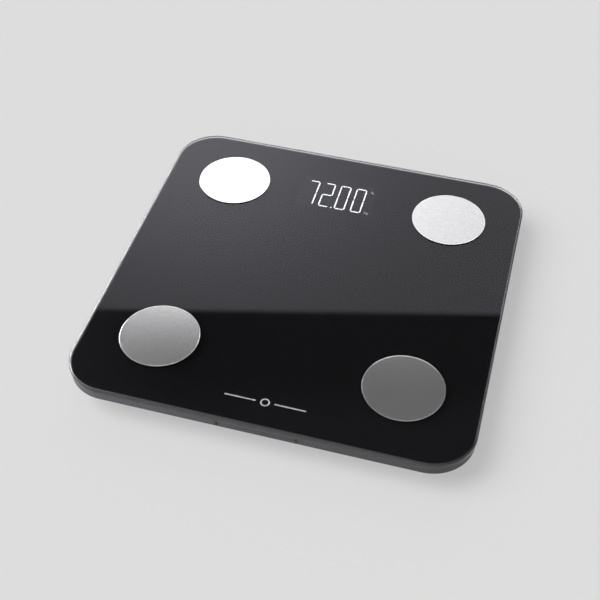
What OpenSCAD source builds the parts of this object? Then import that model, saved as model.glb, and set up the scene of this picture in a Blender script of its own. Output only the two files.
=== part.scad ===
// Digital body-composition bathroom scale.
// A square glass platform with four steel electrodes is taped to a moulded tray. The tray holds
// the boards, the display and the cells, and stands on four feet that press on load cells.
// The origin is on the floor under the middle of the platform, +Y points at the display.

/* [Platform] */
// Side of the square glass platform
plate_w = 260; // [258:1:264]
// Corner radius of the glass platform
plate_r = 28.5; // [27:0.5:30]
// Thickness of the glass
glass_t = 4; // [3.8:0.1:5]
// Chamfer ground along the top edge of the glass
glass_chamfer = 1.2; // [0.6:0.1:1.5]
// Height of the glass's lower face above the floor
glass_z = 20; // [20:0.1:21]

/* [Electrodes] */
// Radius of each electrode disc
electrode_r = 26; // [22:0.5:28]
// Distance of the electrodes from their common middle, both ways
electrode_xy = 79.7; // [79:0.1:80.5]
// Shift of all four electrodes towards the display
electrode_shift = 2; // [1:0.1:3]
// Thickness of an electrode disc
electrode_t = 0.5; // [0.4:0.1:0.8]

/* [Tray] */
// Height of the tray's flat underside above the floor
base_z = 5; // [4.8:0.1:5]
// Wall thickness of the tray
wall_t = 2; // [1.8:0.1:2.2]
// Height of the corner between the side wall and the sloped underside
slope_top_z = 14.5; // [14.5:0.1:14.8]
// How far the sloped underside runs inwards
slope_run = 12.5; // [11.5:0.1:12.5]

/* [Feet] */
// Distance of the feet from the middle, both ways
foot_xy = 91; // [90.6:0.1:91]
// Radius of a foot cup
foot_r = 20; // [19.4:0.1:20]
// Upward travel of a foot at full load
foot_travel = 0.6; // [0.3:0.1:0.6]

/* [Display] */
// Height of a digit between the middles of its top and bottom bars
digit_h = 25; // [22:0.5:26]
// Width of a digit between the middles of its side bars
digit_w = 7; // [6:0.2:7.2]
// Distance from one digit to the next
digit_pitch = 11.8; // [11.4:0.1:12]
// Width of a lit bar
stroke_w = 0.9; // [0.8:0.1:1.4]
// Position of the first digit's middle, across the platform
first_digit_x = -22.7; // [-23:0.1:-22.5]
// Position of the digits' middle, front to back
digit_y = 87.4; // [86.8:0.1:88]

/* [Battery door] */
// Width of the battery door between its side seams
door_w = 50; // [49.8:0.1:50]
// Gap round the battery door
door_gap = 0.3; // [0.3:0.05:0.35]

/* [Hidden] */
$fn = 96;

corner_signs = [[-1, -1], [1, -1], [-1, 1], [1, 1]];
over = 1; // how far a cut runs past the face that it opens

// Heights, from the glass down
mask_t = 0.1;
tape_t = 0.6;
glass_top_z = glass_z + glass_t;
mask_z = glass_z - mask_t;
rim_z = mask_z - tape_t;
glass_low_chamfer = 0.6;
mask_inset = 1.6;
adhesive_t = 0.1;

// Tray
tray_w = plate_w - 1.2;
tray_r = plate_r - 0.6;
floor_z = base_z + 2;
inner_slope_run = slope_run - 1;
inner_slope_top_z = slope_top_z + 1.6;
inner_w = tray_w - 2 * wall_t;
lip_t = 1;
lip_top_z = mask_z - 0.05;
inner_wall_w = tray_w - 14;
inner_wall_t = 1.5;
rib_t = 1.4;
rib_top_z = rim_z - 0.3;
low_rib_z = floor_z + 4;
low_rib_y = 50;
low_rib_half = 46;

// Foot wells and load cells
well_r = 22.3;
well_t = 1.5;
well_ceiling_z = 15.2;
well_ceiling_t = 2;
foot_hole_r = foot_r + 0.6;
cell_w = 30;
cell_d = 24;
cell_bar_w = 3;
cell_peg_x = 12.7;
cell_peg_y = 10.4;
cell_t = 2.2;
cell_z = well_ceiling_z - foot_travel - cell_t;
notch_w = 6;

// Foot cup and rubber pad
cup_low_z = 1.6;
cup_top_z = 8.6;
cup_floor_t = 2;
pad_h = 2.6;
pad_r = 18;
boss_r = 5;
barb_out = 1.7;
barb_angle = 24;

// Electrode stud that carries the current through the glass
stud_r = 1.5;
stud_hole_r = 3;
stud_z = rim_z - 1.1;

// Battery bay: three AAA cells side by side, and the door under and in front of them
battery_r = 5.2;
battery_l = 44.5;
battery_nub_r = 1.9;
battery_nub_l = 0.9;
battery_z = 12.4;
battery_pitch = 11;
battery_rear_y = -87.5;
bay_half = door_w / 2 + door_gap;
bay_back_y = -81;
bay_top_z = 17.8;
bay_roof_t = 1.1;
bay_side_t = 3.2;
bay_back_t = 1.5;
contact_t = 0.4;
contact_dimple = 0.9;
spring_l = 2 * (bay_half - contact_t) - contact_dimple - battery_l;
door_top_z = 17.1;
door_flange = 1.7;
door_flange_z = base_z + 1;
door_flange_t = 0.9;

// Main board
board_w = 76;
board_d = 46;
board_y = 20;
board_z = 10.6;
board_t = 1.6;
board_top_z = board_z + board_t;
board_hole_x = 34.5;
board_hole_y = 19.7;
socket_h = 5;
socket_d = 5;
cell_socket_y = 12;
cell_socket_w = 8;

// Display module
display_x = first_digit_x + 1.5 * digit_pitch + 1.5;
display_board_w = 71;
display_board_d = 43;
display_board_z = 10.2;
display_board_t = 1.2;
display_board_top_z = display_board_z + display_board_t;
display_hole_x = 33.2;
display_hole_y = 15;
reflector_w = 60;
reflector_d = 35;
window_w = 56;
window_d = 31;
segment_depth = 2;
segment_gap = 0.6;
icon_x = first_digit_x + 3 * digit_pitch + 8;
icon_stroke = 0.35;
icon_h = 2.6;

// Unit button and its switch
button_x = 24;
button_y = 14;
button_r = 4;
button_flange_r = 5.6;
button_recess = 0.3;
button_flange_t = 1.1;
switch_h = 2;
plunger_r = 1.5;
plunger_h = 0.9;

// Wires
wire_r = 0.45;
wire_pitch = 1.15;
wire_sides = 8;
lead_r = 0.55;

// ---------- Shared shapes ----------

module rounded_square(w, r) {
    square([w, w - 2 * r], center = true);
    square([w - 2 * r, w], center = true);
    for (s = corner_signs)
        translate([s[0] * (w / 2 - r), s[1] * (w / 2 - r)])
            circle(r);
}

module rounded_plate(w, r, z0, z1) {
    translate([0, 0, z0])
        linear_extrude(z1 - z0)
            rounded_square(w, r);
}

// Rounded square whose width grows from w0 at z0 to w1 at z1, with a corner radius of r1 at z1
module rounded_frustum(w0, w1, r1, z0, z1) {
    core = w1 - 2 * r1;
    h = z1 - z0;
    side = [[-w0 / 2, 0], [w0 / 2, 0], [w1 / 2, h], [-w1 / 2, h]];
    translate([0, 0, z0]) {
        for (turn = [0, 90])
            rotate([90, 0, turn])
                linear_extrude(core, center = true)
                    polygon(side);
        for (k = [0:3])
            rotate([0, 0, 90 * k])
                translate([core / 2, core / 2, 0])
                    rotate_extrude(angle = 90)
                        polygon([[0, 0], [(w0 - core) / 2, 0], [r1, h], [0, h]]);
    }
}

module block(x0, x1, y0, y1, z0, z1) {
    translate([x0, y0, z0])
        cube([x1 - x0, y1 - y0, z1 - z0]);
}

module post(x, y, r, z0, z1) {
    translate([x, y, z0])
        cylinder(h = z1 - z0, r = r);
}

module ring(r_out, r_in, z0, z1) {
    translate([0, 0, z0])
        linear_extrude(z1 - z0)
            difference() {
                circle(r_out);
                circle(r_in);
            }
}

// Places children at a foot, turned so that +X points at the middle of the scale
module at_foot(s) {
    translate([s[0] * foot_xy, s[1] * foot_xy, 0])
        rotate([0, 0, atan2(-s[1], -s[0])])
            children();
}

function electrode_at(s) = [s[0] * electrode_xy, s[1] * electrode_xy + electrode_shift];

// Pan-head screw with a cross recess, its head resting at z and its tip at z - length
module screw(x, y, z, length) {
    translate([x, y, z])
        difference() {
            union() {
                translate([0, 0, -length])
                    cylinder(h = length, r = 0.95);
                cylinder(h = 0.8, r = 1.9);
                translate([0, 0, 0.8])
                    cylinder(h = 0.4, r1 = 1.9, r2 = 1.3);
            }
            for (turn = [0, 90])
                rotate([0, 0, turn])
                    translate([-1, -0.22, 0.5])
                        cube([2, 0.44, 1]);
        }
}

// ---------- Wires ----------

function unit(v) = v / norm(v);

function heading(path, i) =
    unit(path[min(i + 1, len(path) - 1)] - path[max(i - 1, 0)]);

// Point at t from 0 to 1 on a curve from a to b that leaves along u and arrives along v
function curve_point(a, b, u, v, t) =
    let (reach = norm(b - a))
    (1 + 2 * t) * (1 - t) * (1 - t) * a + t * (1 - t) * (1 - t) * reach * u
    + t * t * (3 - 2 * t) * b + t * t * (t - 1) * reach * v;

// Smooth path through a route's points, with the given number of steps between two of them
function smooth_route(points, steps) = [
    for (i = [0:len(points) - 2], k = [0:steps - 1])
        curve_point(points[i], points[i + 1], heading(points, i), heading(points, i + 1), k / steps),
    points[len(points) - 1]
];

// The same route, moved sideways on the level by d
function beside(points, d) = [
    for (i = [0:len(points) - 1])
        points[i] + d * unit(cross(heading(points, i), [0, 0, 1]))
];

// Ring of points round a route's point, square to its heading and level with the floor on one axis
function wire_ring(path, i, r, sides) =
    let (t = heading(path, i), u = unit(cross(t, [0, 0, 1])), v = cross(u, t))
    [for (k = [0:sides - 1]) path[i] + r * (cos(360 * k / sides) * u + sin(360 * k / sides) * v)];

// Round wire that follows a route, as one closed solid
module wire(path, r, sides = wire_sides) {
    n = len(path);
    points = [for (i = [0:n - 1], p = wire_ring(path, i, r, sides)) p];
    walls = [
        for (i = [0:n - 2], k = [0:sides - 1])
            let (a = i * sides + k, b = i * sides + (k + 1) % sides)
            [a, b, b + sides, a + sides]
    ];
    first = [for (k = [sides - 1:-1:0]) k];
    last = [for (k = [0:sides - 1]) (n - 1) * sides + k];
    polyhedron(points = points, faces = concat([first], walls, [last]));
}

// ---------- Platform ----------

module glass_platform() {
    color([0.75, 0.85, 0.82, 0.5])
        difference() {
            union() {
                rounded_frustum(plate_w - 2 * glass_low_chamfer, plate_w, plate_r,
                                glass_z, glass_z + glass_low_chamfer);
                rounded_plate(plate_w, plate_r, glass_z + glass_low_chamfer,
                              glass_top_z - glass_chamfer);
                rotate([180, 0, 0])
                    rounded_frustum(plate_w - 2 * glass_chamfer, plate_w, plate_r,
                                    -glass_top_z, -glass_top_z + glass_chamfer);
            }
            for (s = corner_signs)
                post(electrode_at(s)[0], electrode_at(s)[1], stud_hole_r,
                     glass_z - over, glass_top_z + over);
        }
}

mark_ring_r = 3;
mark_line_t = 0.9;
mark_y = -109.6;
mark_half = 26;
mark_line_start = 6;

// Plain printed mark: a small ring between two fine lines
module mark_outline() {
    translate([0, mark_y]) {
        difference() {
            circle(mark_ring_r);
            circle(mark_ring_r - mark_line_t);
        }
        for (s = [-1, 1])
            translate([s * (mark_half + mark_line_start) / 2, 0])
                square([mark_half - mark_line_start, mark_line_t], center = true);
    }
}

module window_outline() {
    translate([display_x, digit_y])
        square([window_w, window_d], center = true);
}

module printed_mask() {
    color([0.05, 0.05, 0.055])
        translate([0, 0, mask_z])
            linear_extrude(mask_t)
                difference() {
                    rounded_square(plate_w - 2 * mask_inset, plate_r - mask_inset);
                    window_outline();
                    mark_outline();
                    for (s = corner_signs)
                        translate(electrode_at(s))
                            circle(stud_hole_r + 0.5);
                }
}

module display_window() {
    color([0.2, 0.2, 0.21])
        translate([0, 0, mask_z])
            linear_extrude(mask_t)
                window_outline();
}

module printed_mark() {
    color([0.75, 0.77, 0.8])
        translate([0, 0, mask_z])
            linear_extrude(mask_t)
                mark_outline();
}

// Double-sided tape under the glass: one frame on the tray's two outer walls, and one ring on each well
module glass_tape() {
    color([0.2, 0.2, 0.2]) {
        translate([0, 0, rim_z])
            linear_extrude(tape_t)
                difference() {
                    rounded_square(tray_w - 2 * lip_t - 0.2, tray_r - lip_t - 0.1);
                    rounded_square(inner_wall_w - 2 * inner_wall_t,
                                   tray_r - 7 - inner_wall_t);
                }
        for (s = corner_signs)
            translate([s[0] * foot_xy, s[1] * foot_xy, 0])
                ring(well_r + well_t, well_r, rim_z, mask_z);
    }
}

// Steel disc with a rolled edge and a welded stud that passes down through the glass
module electrode(s) {
    edge = 0.2;
    low_z = glass_top_z + adhesive_t;
    color([0.72, 0.72, 0.74])
        translate([electrode_at(s)[0], electrode_at(s)[1], 0]) {
            translate([0, 0, low_z])
                cylinder(h = electrode_t - edge, r = electrode_r);
            translate([0, 0, low_z + electrode_t - edge])
                cylinder(h = edge, r1 = electrode_r, r2 = electrode_r - edge);
            post(0, 0, stud_r, stud_z, low_z + 0.1);
        }
}

module electrode_adhesive() {
    color([0.5, 0.5, 0.5])
        for (s = corner_signs)
            translate([electrode_at(s)[0], electrode_at(s)[1], 0])
                ring(electrode_r - 0.6, stud_hole_r + 1, glass_top_z, glass_top_z + adhesive_t);
}

// ---------- Tray ----------

module tray_outer() {
    rounded_frustum(tray_w - 2 * slope_run, tray_w, tray_r, base_z, slope_top_z);
    rounded_plate(tray_w, tray_r, slope_top_z, lip_top_z);
}

module tray_inner() {
    rounded_frustum(inner_w - 2 * inner_slope_run, inner_w, tray_r - wall_t,
                    floor_z, inner_slope_top_z);
    rounded_plate(inner_w, tray_r - wall_t, inner_slope_top_z, rim_z + over);
    rounded_plate(tray_w - 2 * lip_t, tray_r - lip_t, rim_z, lip_top_z + over);
}

module tray_shell() {
    difference() {
        tray_outer();
        tray_inner();
    }
}

module inner_wall() {
    intersection() {
        tray_outer();
        difference() {
            rounded_plate(inner_wall_w, tray_r - 7, floor_z, rim_z);
            rounded_plate(inner_wall_w - 2 * inner_wall_t, tray_r - 7 - inner_wall_t,
                          floor_z - over, rim_z + over);
        }
    }
}

// Foot well, with a ceiling that the load cell bears on. Two bars space the cell off the ceiling,
// and pegs on them pass through the cell's corner holes.
module well(s) {
    at_foot(s) {
        ring(well_r + well_t, well_r, floor_z - 0.5, rim_z);
        post(0, 0, well_r + 0.5, well_ceiling_z, well_ceiling_z + well_ceiling_t);
        for (side = [-1, 1])
            translate([-cell_w / 2, side * (cell_d - cell_bar_w) / 2 - cell_bar_w / 2,
                       cell_z + cell_t])
                cube([cell_w, cell_bar_w, foot_travel + 0.2]);
        for (p = corner_signs)
            post(p[0] * cell_peg_x, p[1] * cell_peg_y, 0.7, cell_z - 0.7, cell_z + cell_t + 0.2);
    }
}

// The openings that a well needs: the foot's hole and two wire notches
module well_cuts(s) {
    at_foot(s) {
        post(0, 0, foot_hole_r, base_z - over, floor_z + 0.1);
        block(well_r - 1, well_r + well_t + 1, -notch_w / 2, notch_w / 2,
              cell_z - 2.2, well_ceiling_z);
        block(well_r - 1, well_r + well_t + 1, -notch_w / 2, notch_w / 2,
              well_ceiling_z + well_ceiling_t, rim_z + over);
    }
}

module ribs() {
    reach = foot_xy - well_r - well_t + 1;
    outer = inner_wall_w / 2;
    for (s = [-1, 1]) {
        block(s * foot_xy - rib_t / 2, s * foot_xy + rib_t / 2, -reach, reach,
              floor_z - 0.5, rib_top_z);
        block(min(s * 44, s * reach), max(s * 44, s * reach),
              foot_xy - rib_t / 2, foot_xy + rib_t / 2, floor_z - 0.5, rib_top_z);
        block(min(s * (bay_half + 1), s * reach), max(s * (bay_half + 1), s * reach),
              -foot_xy - rib_t / 2, -foot_xy + rib_t / 2, floor_z - 0.5, rib_top_z);
        block(-low_rib_half, low_rib_half, s * low_rib_y - rib_t / 2, s * low_rib_y + rib_t / 2,
              floor_z - 0.5, low_rib_z);
    }
    intersection() {
        tray_outer();
        for (s = corner_signs) {
            block(min(s[0] * (foot_xy + well_r + 0.5), s[0] * outer),
                  max(s[0] * (foot_xy + well_r + 0.5), s[0] * outer),
                  s[1] * foot_xy - rib_t / 2, s[1] * foot_xy + rib_t / 2, base_z + 1, rib_top_z);
            block(s[0] * foot_xy - rib_t / 2, s[0] * foot_xy + rib_t / 2,
                  min(s[1] * (foot_xy + well_r + 0.5), s[1] * outer),
                  max(s[1] * (foot_xy + well_r + 0.5), s[1] * outer), base_z + 1, rib_top_z);
        }
    }
}

// Solid block round the battery bay, before the bay itself is cut out of it
module bay_block() {
    outer_half = bay_half + bay_side_t;
    intersection() {
        tray_outer();
        block(-outer_half, outer_half, -tray_w / 2, bay_back_y + bay_back_t,
              base_z, bay_top_z + bay_roof_t);
    }
}

module bay_cuts() {
    front_inner_y = -inner_w / 2;
    // the space for the cells
    block(-bay_half, bay_half, front_inner_y, bay_back_y, base_z - over, bay_top_z);
    // the way out through the front wall
    block(-bay_half, bay_half, -tray_w / 2 - over, front_inner_y + 0.1,
          base_z - over, door_top_z + door_gap);
    // the grooves that the door's flanges slide in
    block(-bay_half - door_flange, bay_half + door_flange, -tray_w / 2 - over, bay_back_y,
          door_flange_z - 0.15, door_flange_z + door_flange_t + 0.15);
    // the slots that the two end contacts pass through
    for (s = [-1, 1])
        block(min(s * (bay_half - contact_t - 0.2), s * (bay_half + 0.2)),
              max(s * (bay_half - contact_t - 0.2), s * (bay_half + 0.2)),
              bay_back_y - over, bay_back_y + bay_back_t + over, 14.3, bay_top_z);
}

module board_boss(x, y, top_z) {
    difference() {
        post(x, y, 3, floor_z - 0.5, top_z);
        post(x, y, 1, floor_z, top_z + over);
    }
}

module base_tray() {
    color([0.27, 0.27, 0.29])
        difference() {
            union() {
                tray_shell();
                inner_wall();
                ribs();
                bay_block();
                for (s = corner_signs) {
                    well(s);
                    board_boss(s[0] * board_hole_x, board_y + s[1] * board_hole_y, board_z);
                    board_boss(display_x + s[0] * display_hole_x,
                               digit_y + s[1] * display_hole_y, display_board_z);
                }
            }
            for (s = corner_signs)
                well_cuts(s);
            bay_cuts();
            post(button_x, button_y, button_r + 0.3, base_z - over, floor_z + over);
        }
}

// Blank foil label under the tray
module rating_label() {
    label_t = 0.12;
    color([0.7, 0.7, 0.7])
        translate([0, 52, base_z - label_t])
            linear_extrude(label_t) {
                square([66, 30], center = true);
                square([70, 26], center = true);
                for (s = corner_signs)
                    translate([s[0] * 33, s[1] * 13])
                        circle(2);
            }
}

// Skin of the tray between the door's seams, with side flanges and finger grooves
module battery_door() {
    grip_lines = 5;
    grip_pitch = 2.4;
    grip_half = 9;
    color([0.26, 0.26, 0.28])
        difference() {
            union() {
                intersection() {
                    tray_shell();
                    block(-door_w / 2, door_w / 2, -tray_w / 2 - over, bay_back_y - door_gap,
                          base_z - over, door_top_z);
                }
                block(-bay_half - door_flange + door_gap, bay_half + door_flange - door_gap,
                      -112, -84, door_flange_z, door_flange_z + door_flange_t);
            }
            for (k = [0:grip_lines - 1])
                block(-grip_half, grip_half, -108 + k * grip_pitch, -107 + k * grip_pitch,
                      base_z - over, base_z + 0.5);
            translate([0, -88, base_z - over])
                linear_extrude(over + 0.5)
                    polygon([[-4, 0], [4, 0], [0, -5]]);
        }
}

// ---------- Boards ----------

module main_board() {
    color([0.1, 0.4, 0.22])
        difference() {
            block(-board_w / 2, board_w / 2, board_y - board_d / 2, board_y + board_d / 2,
                  board_z, board_top_z);
            for (s = corner_signs)
                post(s[0] * board_hole_x, board_y + s[1] * board_hole_y, 1.1,
                     board_z - over, board_top_z + over);
        }
}

module board_chips() {
    color([0.08, 0.08, 0.08]) {
        block(-4, 4, 12, 20, board_top_z, board_top_z + 1);
        block(-18, -12, 10, 15, board_top_z, board_top_z + 1.6);
        block(8, 14, 26, 31, board_top_z, board_top_z + 1.6);
        block(-12, -9, 22, 24, board_top_z, board_top_z + 1.1);
        block(10, 14, 6, 9, board_top_z, board_top_z + 1.1);
        post(20, 33, 2, board_top_z, board_top_z + 5);
        post(14, 36, 2, board_top_z, board_top_z + 5);
    }
}

// Small radio board with a shield can, soldered flat on the main board
module bluetooth_module() {
    color([0.7, 0.7, 0.7]) {
        block(-27, -15, 24, 40, board_top_z, board_top_z + 0.8);
        block(-26.3, -15.7, 24.7, 35, board_top_z + 0.8, board_top_z + 2.6);
    }
}

// Socket that is open on one side, with its opening along the direction that dir names
module socket(x, y, w, dir) {
    translate([x, y, board_top_z])
        rotate([0, 0, dir])
            difference() {
                block(-socket_d, 0, -w / 2, w / 2, 0, socket_h);
                block(-socket_d + 1.2, over, -w / 2 + 0.8, w / 2 - 0.8, 1, socket_h - 0.8);
            }
}

module board_sockets() {
    edge_x = board_w / 2;
    color([0.9, 0.9, 0.86]) {
        for (s = [-1, 1], row = [-1, 0, 1])
            socket(s * edge_x, board_y + row * cell_socket_y,
                   row == 0 ? 6 : cell_socket_w, s > 0 ? 0 : 180);
        socket(3, board_y - board_d / 2, 6, -90);
        socket(-4, board_y + board_d / 2, 14, 90);
    }
}

module board_screws() {
    color([0.6, 0.6, 0.62])
        for (s = corner_signs)
            screw(s[0] * board_hole_x, board_y + s[1] * board_hole_y, board_top_z, 5);
}

// ---------- Display ----------

module display_board() {
    color([0.1, 0.4, 0.22])
        difference() {
            translate([display_x, digit_y, display_board_z])
                linear_extrude(display_board_t)
                    square([display_board_w, display_board_d], center = true);
            for (s = corner_signs)
                post(display_x + s[0] * display_hole_x, digit_y + s[1] * display_hole_y, 1.1,
                     display_board_z - over, display_board_top_z + over);
        }
}

module display_screws() {
    color([0.6, 0.6, 0.62])
        for (s = corner_signs)
            screw(display_x + s[0] * display_hole_x, digit_y + s[1] * display_hole_y,
                  display_board_top_z, 4);
}

// A bar of the given length with pointed ends, lying along X
module bar_shape(length) {
    tip = stroke_w / 2;
    half = length / 2 - segment_gap / 2;
    polygon([[-half, 0], [-half + tip, tip], [half - tip, tip],
             [half, 0], [half - tip, -tip], [-half + tip, -tip]]);
}

// One of a digit's seven bars: a top, b and c right, d bottom, e and f left, g middle
module segment_shape(name) {
    h = digit_h / 2;
    w = digit_w / 2;
    if (name == "a" || name == "d" || name == "g")
        translate([0, name == "a" ? h : name == "d" ? -h : 0])
            bar_shape(digit_w);
    else
        translate([name == "b" || name == "c" ? w : -w,
                   name == "b" || name == "f" ? h / 2 : -h / 2])
            rotate(90)
                bar_shape(h);
}

LIT = ["abc", "abdeg", "abcdef", "abcdef"];

function is_lit(digit, name) = len(search(name, LIT[digit])) > 0;

// All bars of the four digits whose lit state matches, and the decimal point with the lit ones
module digit_shapes(lit) {
    for (digit = [0:3])
        translate([first_digit_x + digit * digit_pitch, digit_y]) {
            for (name = ["a", "b", "c", "d", "e", "f", "g"])
                if (is_lit(digit, name) == lit)
                    segment_shape(name);
            if ((digit == 1) == lit)
                translate([digit_pitch / 2, -digit_h / 2])
                    square(stroke_w, center = true);
        }
}

// Small stroke of a unit sign, from a to b
module icon_bar(a, b) {
    d = b - a;
    translate(a)
        rotate(atan2(d[1], d[0]))
            translate([0, -icon_stroke / 2])
                square([norm(d), icon_stroke]);
}

module icon_loop(x) {
    r = icon_h / 4 + 0.05;
    translate([x, r])
        difference() {
            circle(r);
            circle(r - icon_stroke);
        }
}

// The signs lb above and kg below, beside the last digit
module icon_shapes() {
    translate([icon_x, digit_y + digit_h / 2 - icon_h]) {
        icon_bar([-0.9, 0], [-0.9, icon_h]);
        icon_bar([-0.1, 0], [-0.1, icon_h]);
        icon_loop(0.5);
    }
    translate([icon_x, digit_y - digit_h / 2]) {
        icon_bar([-1.2, 0], [-1.2, icon_h]);
        icon_bar([-1.1, 0.7], [-0.3, 1.5]);
        icon_bar([-0.9, 0.8], [-0.2, 0]);
        icon_loop(0.8);
        icon_bar([1.35, 1.4], [1.35, -0.6]);
        icon_bar([1.5, -0.5], [0.3, -0.5]);
    }
}

module display_reflector() {
    color([0.12, 0.12, 0.13])
        difference() {
            translate([display_x, digit_y, display_board_top_z])
                linear_extrude(rim_z - display_board_top_z)
                    square([reflector_w, reflector_d], center = true);
            translate([0, 0, rim_z - segment_depth])
                linear_extrude(segment_depth + over) {
                    digit_shapes(true);
                    digit_shapes(false);
                    icon_shapes();
                }
        }
}

module segments_lit() {
    color([1, 1, 1])
        translate([0, 0, rim_z - segment_depth])
            linear_extrude(segment_depth)
                digit_shapes(true);
}

module segments_unlit() {
    color([0.3, 0.3, 0.3])
        translate([0, 0, rim_z - segment_depth])
            linear_extrude(segment_depth)
                digit_shapes(false);
}

module unit_icons() {
    color([0.6, 0.6, 0.6])
        translate([0, 0, rim_z - segment_depth])
            linear_extrude(segment_depth)
                icon_shapes();
}

// Foam frame that keeps light and dust out between the reflector and the glass
module display_gasket() {
    frame_t = 1.8;
    color([0.1, 0.1, 0.1])
        translate([display_x, digit_y, rim_z])
            linear_extrude(tape_t)
                difference() {
                    square([reflector_w, reflector_d], center = true);
                    square([reflector_w - 2 * frame_t, reflector_d - 2 * frame_t], center = true);
                }
}

// Flat cable between the two boards, with the plug blocks that it ends in
module display_ribbon() {
    cable_half = 5.5;
    cable_t = 0.3;
    start_y = board_y + board_d / 2 - 3;
    end_y = digit_y - display_board_d / 2;
    route = smooth_route([[start_y, 14.8], [start_y + 4, 14.8], [start_y + 9, 13.2],
                          [start_y + 15, 12.4], [end_y - 3, 12.6], [end_y + 1, 12.9]], 5);
    outline = concat(route, [for (i = [len(route) - 1:-1:0]) route[i] + [0, cable_t]]);
    color([0.85, 0.85, 0.85]) {
        translate([-4 - cable_half, 0, 0])
            rotate([90, 0, 90])
                linear_extrude(2 * cable_half)
                    polygon(outline);
        block(-4 - 6, -4 + 6, end_y + 0.6, end_y + 3.2, display_board_top_z, 14.2);
    }
}

// ---------- Load cells and feet ----------

// Half-bridge cell: a plate with a U-shaped slot round a tongue, which a neck joins to the frame
module load_cell(s) {
    slot_w = 2.4;
    tongue_w = 13;
    color([0.75, 0.76, 0.78])
        at_foot(s)
            translate([0, 0, cell_z])
                linear_extrude(cell_t)
                    difference() {
                        square([cell_w, cell_d], center = true);
                        translate([-cell_w / 2 + 4, -tongue_w / 2 - slot_w])
                            square([slot_w, tongue_w + 2 * slot_w]);
                        for (side = [-1, 1])
                            translate([-cell_w / 2 + 4,
                                       side * (tongue_w + slot_w) / 2 - slot_w / 2])
                                square([cell_w - 9, slot_w]);
                        for (p = corner_signs)
                            translate([p[0] * cell_peg_x, p[1] * cell_peg_y])
                                circle(0.8, $fn = 32);
                    }
}

gauge_l = 5.4;
gauge_w = 9;
gauge_t = 1.2;
gauge_x = 5.8;

module strain_gauges() {
    color([0.92, 0.92, 0.9])
        for (s = corner_signs)
            at_foot(s)
                block(gauge_x, gauge_x + gauge_l, -gauge_w / 2, gauge_w / 2,
                      cell_z - gauge_t, cell_z);
}

// Cup that passes through the tray's floor and hooks over it with four barbs. Its boss holds the
// load cell's tongue, and the rubber pad sits in its lower face.
module foot_cup(s) {
    wall = 1.8;
    color([0.14, 0.14, 0.15])
        at_foot(s) {
            difference() {
                post(0, 0, foot_r, cup_low_z, cup_top_z);
                post(0, 0, foot_r - wall, pad_h + cup_floor_t, cup_top_z + over);
                post(0, 0, pad_r + 0.2, cup_low_z - over, pad_h);
                for (k = [0:3])
                    rotate([0, 0, 45 + 90 * k])
                        for (side = [-1, 1])
                            rotate([0, 0, side * (barb_angle / 2 + 3)])
                                block(foot_r - wall - over, foot_r + over, -0.5, 0.5,
                                      pad_h + cup_floor_t + 0.4, cup_top_z + over);
            }
            for (k = [0:3])
                rotate([0, 0, 45 + 90 * k - barb_angle / 2])
                    translate([0, 0, floor_z])
                        rotate_extrude(angle = barb_angle)
                            polygon([[foot_r - 0.4, 0], [foot_r + barb_out, 0],
                                     [foot_r + barb_out, 0.5], [foot_r, cup_top_z - floor_z],
                                     [foot_r - 0.4, cup_top_z - floor_z]]);
            post(0, 0, boss_r, pad_h + cup_floor_t - 0.2, cell_z);
            for (k = [0:5])
                rotate([0, 0, 60 * k])
                    block(boss_r - 0.5, foot_r - wall + 0.4, -0.6, 0.6,
                          pad_h + cup_floor_t - 0.2, pad_h + cup_floor_t + 1.6);
        }
}

// Rubber pad with two rings pressed into its sole
module foot_pad(s) {
    edge = 0.6;
    groove = 0.6;
    color([0.06, 0.06, 0.06])
        translate([s[0] * foot_xy, s[1] * foot_xy, 0])
            rotate_extrude()
                polygon([[0, 0], [6.6, 0], [7, groove], [8.4, groove], [8.8, 0],
                         [12.6, 0], [13, groove], [14.4, groove], [14.8, 0],
                         [pad_r - edge, 0], [pad_r, edge], [pad_r, pad_h], [0, pad_h]]);
}

wire_floor_z = floor_z + wire_r + 0.15;
socket_wire_z = board_top_z + 2.6;
socket_wire_x = board_w / 2 - 2.5;

// Route of the middle one of a cell's three wires, from its gauge to its socket on the main board
function cell_route(s) =
    let (in = -s / norm(s), at = s * foot_xy, end_y = board_y + s[1] * cell_socket_y,
         gauge = at + in * (gauge_x + gauge_l), notch = at + in * (well_r + well_t + 1),
         past = at + in * (well_r + 12))
    [[gauge[0], gauge[1], cell_z - gauge_t / 2],
     [at[0] + in[0] * 17, at[1] + in[1] * 17, cell_z - gauge_t / 2],
     [notch[0], notch[1], cell_z - 0.6],
     [past[0], past[1], wire_floor_z + 1],
     [s[0] * 56, s[1] > 0 ? 50 : -34, wire_floor_z],
     [s[0] * 50, end_y + s[1] * 5, board_z - 1],
     [s[0] * 45, end_y, board_z + 1],
     [s[0] * (socket_wire_x + 4), end_y, socket_wire_z],
     [s[0] * socket_wire_x, end_y, socket_wire_z]];

module cell_wires(lane, shade) {
    color(shade)
        for (s = corner_signs)
            wire(smooth_route(beside(cell_route(s), lane * wire_pitch), 3), wire_r);
}

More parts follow.
